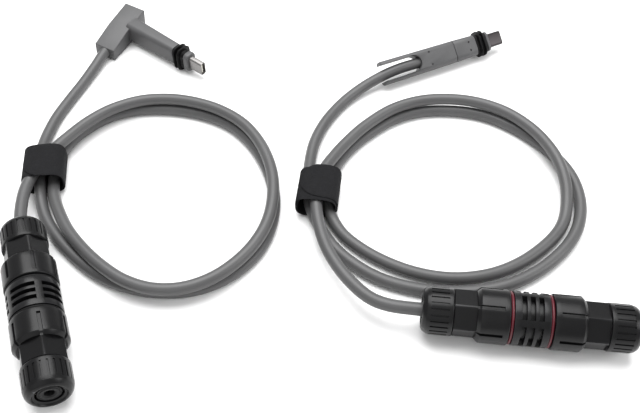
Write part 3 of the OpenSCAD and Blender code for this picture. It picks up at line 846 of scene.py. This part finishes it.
BODY_W, SEAM_W, BODY_T = 15.8, 14.6, 10.0
PLUG_W, PLUG_T = 13.9, 9.2
SEAM, STRAIGHT_LEN, ANGLED_LEN = 54.0, 70.4, 49.3
STRAIGHT_SEAL, ANGLED_SEAL = 8.4, 9.2
STRAIGHT_COLLAR, ANGLED_COLLAR = 1.8, 4.4
LIP_W, LIP_THICK = 3.2, 1.2
NOSE_W, NOSE_T = 11.0, 6.0
TIP_W, TIP_T, TIP_OUT, TIP_IN = 9.4, 4.4, 10.5, 6.0
FORK_GAP, FORK_END = 11.2, 28.3
HEAD_HALF, HEAD_TILT, HEAD_LOW = 7.4, 7, -6.8
HEAD_BACK, HEAD_FRONT = 12.4, -27.4
BARREL_W, BARREL_T, BARREL_START = 11.5, 14.8, 6.6
DIMPLE_R, DIMPLE_DEEP = 0.7, 0.9
CABLE_HOLE_R = CABLE_R + 0.1


def finish_edges(obj, width, segments=2):
    """Rounds the sharp edges of a cut piece."""
    applied(obj, "BEVEL", width=width * MM, segments=segments, limit_method="ANGLE",
            angle_limit=math.radians(40), miter_outer="MITER_ARC")
    return soften(obj, 40)


def dimples(x, gap, top):
    """Tool for a pair of tiny round sink marks, one on each side of the plug's axis."""
    around = [math.radians(a) for a in range(0, 360, 30)]
    points, faces = [], []
    for side in (-1, 1):
        rings = [[(x + DIMPLE_R * math.cos(a), side * gap + DIMPLE_R * math.sin(a), z)
                  for a in around] for z in (top - DIMPLE_DEEP, top + 1)]
        new_points, new_faces = skin(rings, False)
        faces += [tuple(i + len(points) for i in face) for face in new_faces]
        points += new_points
    return make("dimple_tool", points, faces, PLUG_ABS)


def cable_hole(start, end):
    """Tool for the blind hole that the cable goes into."""
    return tube("hole_tool", [start, end], CABLE_HOLE_R, 32, PLUG_ABS)


def straight_plug():
    """Two-part moulded shell with a forked rear, where the cable comes out between the prongs."""
    place = placed(STRAIGHT_PLUG_AT, STRAIGHT_PLUG_HEADING) @ Matrix.Rotation(
        math.radians(STRAIGHT_PLUG_ROLL), 4, "X")
    rear = lofted("straight_plug_rear_shell",
                  cushioned(0, BODY_W, BODY_T - 0.4, SEAM - 0.15, SEAM_W, BODY_T, 3.6, 0.5),
                  PLUG_ABS)
    r = FORK_GAP / 2
    slot = [(-1, -r), (FORK_END - r, -r)]
    slot += [(FORK_END - r + r * math.sin(math.radians(a)), -r * math.cos(math.radians(a)))
             for a in range(10, 180, 10)]
    slot += [(FORK_END - r, r), (-1, r)]
    cut(rear, prism("fork_tool", slot, -12, 12, PLUG_ABS))
    cut(rear, cable_hole(Vector((FORK_END - 3, 0, 0)), Vector((34, 0, 0))))
    cut(rear, dimples(35, 4.2, BODY_T / 2))
    finish_edges(rear, 0.35)
    show(rear, place, "straight_lead", "plug_plastic", "straight_plug_rear")
    end = STRAIGHT_LEN + STRAIGHT_SEAL
    front = lofted("straight_plug_front_shell",
                   cushioned(SEAM, SEAM_W, BODY_T, STRAIGHT_LEN, PLUG_W, PLUG_T, 3.6, 0.3),
                   PLUG_ABS)
    cut(front, dimples(65, 2.8, PLUG_T / 2 + 0.15))
    soften(front, 40)
    show(front, place, "straight_lead", "plug_plastic", "straight_plug_front")
    nose = nose_piece("straight_plug_nose", STRAIGHT_LEN - 0.5, end, STRAIGHT_COLLAR, 0.4)
    show(nose, place, "straight_lead", "plug_plastic", "straight_plug_front")
    seal = seal_piece("straight_plug_seal_rubber", STRAIGHT_LEN, end)
    show(seal, place, "straight_lead", "black_rubber", "straight_plug_seal")
    tip = tip_piece("straight_tip_metal", end + STRAIGHT_COLLAR, DULL_STEEL)
    show(tip, place, "straight_lead", "tip_metal_dark", "straight_tip_shell")
    return [rear, front, nose, seal, tip]


def nose_piece(name, x0, x1, collar, ease):
    """Nose under the seal and the collar in front of it, hollowed for the metal tip."""
    mouth = x1 + collar
    outer = [(x0, NOSE_W, NOSE_T, 2.5), (x1 - 0.02, NOSE_W, NOSE_T, 2.5)]
    outer += cushioned(x1, PLUG_W - 0.6, PLUG_T - 0.8, mouth, PLUG_W - 0.6, PLUG_T - 0.8, 3, ease)
    wide, thick, depth = TIP_W + 0.2, TIP_T + 0.2, mouth - TIP_IN
    inner = [(mouth, wide, thick, 1.6), (depth, wide, thick, 1.6), (depth - 0.01, 1, 1, 0.4)]
    return lofted(name, outer + inner, PLUG_ABS, angle=38)


def seal_piece(name, x0, x1):
    """Rubber sleeve with two thin lips standing well out of it, and a low bead beside each."""
    wide, thick = PLUG_W - 1.4, PLUG_T - 1.4
    pitch = (x1 - x0) / 3
    lip, bead = (LIP_W / 2 + 0.7, 0.48), (0.45, 0.5)
    marks = [(x0 + 0.3 * pitch, *bead), (x0 + 0.7 * pitch + LIP_THICK / 2, *lip),
             (x0 + 1.8 * pitch + LIP_THICK / 2, *lip), (x0 + 2.6 * pitch, *bead)]
    stations = [(x0 + 0.1, wide - 0.4, thick - 0.4, 3.2), (x0 + 0.2, wide, thick, 3.2)]
    for x, up, half in marks:
        for shift, share in ((-half, 0), (-0.8 * half, 0.3), (-0.6 * half, 0.93), (0, 1),
                             (0.6 * half, 0.93), (0.8 * half, 0.3), (half, 0)):
            stations.append((x + shift, wide + 2 * up * share, thick + 2 * up * share,
                             3.2 + 0.5 * up * share))
    stations += [(x1 - 0.2, wide, thick, 3.2), (x1 - 0.1, wide - 0.4, thick - 0.4, 3.2)]
    inner = [(x, NOSE_W + 0.1, NOSE_T + 0.1, 2.5) for x in (x1 - 0.1, x0 + 0.1)]
    return lofted(name, stations + inner, RUBBER, hollow=True, angle=40)


def tip_piece(name, x, metal):
    """Folded metal shell with a rolled-in front lip, open at its outer end."""
    end = x + TIP_OUT
    outer = [(x - TIP_IN + 0.1, TIP_W, TIP_T, 1.5), (end - 0.5, TIP_W, TIP_T, 1.5),
             (end - 0.15, TIP_W - 0.1, TIP_T - 0.1, 1.45), (end, TIP_W - 0.35, TIP_T - 0.35, 1.35)]
    inner = [(end, TIP_W - 0.6, TIP_T - 0.6, 1.2), (end - 0.3, TIP_W - 0.9, TIP_T - 0.9, 1.05),
             (x - TIP_IN + 1, TIP_W - 0.9, TIP_T - 0.9, 1.05), (x - TIP_IN + 0.99, 1, 1, 0.4)]
    return lofted(name, outer + inner, metal, angle=38)


def angled_plug():
    """Wedge-shaped head with the barrel standing out of its side."""
    place = placed(ANGLED_PLUG_AT, ANGLED_PLUG_HEADING)
    upright = place @ Matrix.Rotation(math.radians(90), 4, "X")
    side = [(HEAD_BACK, HEAD_LOW), (HEAD_BACK, 7.4), (HEAD_BACK - 0.8, 8), (-10, 6),
            (HEAD_FRONT, 2), (HEAD_FRONT, HEAD_LOW)]
    rings = [[(x, y, z) for y, z in side] for x in (-HEAD_HALF, HEAD_HALF)]
    points, faces = skin(rings, False)
    head = make("angled_plug_head", points, faces, PLUG_ABS)
    finish_edges(head, 0.7, 3)
    turn = Matrix.Rotation(math.radians(90 - PLUG_BEND), 4, "Z")
    tilt = Matrix.Rotation(math.radians(HEAD_TILT), 4, "Y")
    head.data.transform(turn.inverted() @ tilt @ turn)
    cut(head, cable_hole(Vector((0, -14.4, -CABLE_DROP)), Vector((0, -32, -CABLE_DROP))))
    soften(head, 40)
    show(head, place @ turn, "angled_lead", "plug_plastic", "angled_plug_body")
    stations = [(BARREL_START, BARREL_T, BARREL_W, 3.4)]
    stations += cushioned(BARREL_START + 0.2, BARREL_T, BARREL_W, ANGLED_LEN, PLUG_W, PLUG_T,
                          3.2, 0.3)[3:]
    barrel = lofted("angled_plug_barrel", stations, PLUG_ABS, angle=30)
    show(barrel, upright, "angled_lead", "plug_plastic", "angled_plug_body")
    end = ANGLED_LEN + ANGLED_SEAL
    nose = nose_piece("angled_plug_nose", ANGLED_LEN - 0.5, end, ANGLED_COLLAR, 1.0)
    show(nose, upright, "angled_lead", "plug_plastic", "angled_plug_body")
    seal = seal_piece("angled_plug_seal_rubber", ANGLED_LEN, end)
    show(seal, upright, "angled_lead", "black_rubber", "angled_plug_seal")
    tip = tip_piece("angled_tip_metal", end + ANGLED_COLLAR, BRIGHT_STEEL)
    show(tip, upright, "angled_lead", "tip_metal_bright", "angled_tip_shell")
    return [head, barrel, nose, seal, tip]


straight_pieces = straight_plug()
angled_pieces = angled_plug()

# ---------------------------------------------------------------- CAD pieces with their finishes

CAD_FINISHES = {"jack_block": BLACK_PLASTIC, "jack_contacts": GOLD, "modular_plug": CLEAR,
                "modular_contacts": GOLD, "claw": NYLON, "ring": ACETAL,
                "straight_tip_tongue": BLACK_PLASTIC, "angled_tip_tongue": ACETAL}


def finish_cad_nodes():
    """Gives each CAD node that stays in view its real material."""
    for name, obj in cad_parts.items():
        for word, material in CAD_FINISHES.items():
            if word in name and "seal_rings" not in name:
                obj.data.materials.clear()
                obj.data.materials.append(material)


finish_cad_nodes()


def table_top():
    """Pale matt table under the leads."""
    rings = [[(x, y, z) for x, y in ((-3000, -3000), (3000, -3000), (3000, 3000), (-3000, 3000))]
             for z in (-20, -0.05)]
    points, faces = skin(rings, False)
    make("table_top", points, faces, TABLE)


table_top()
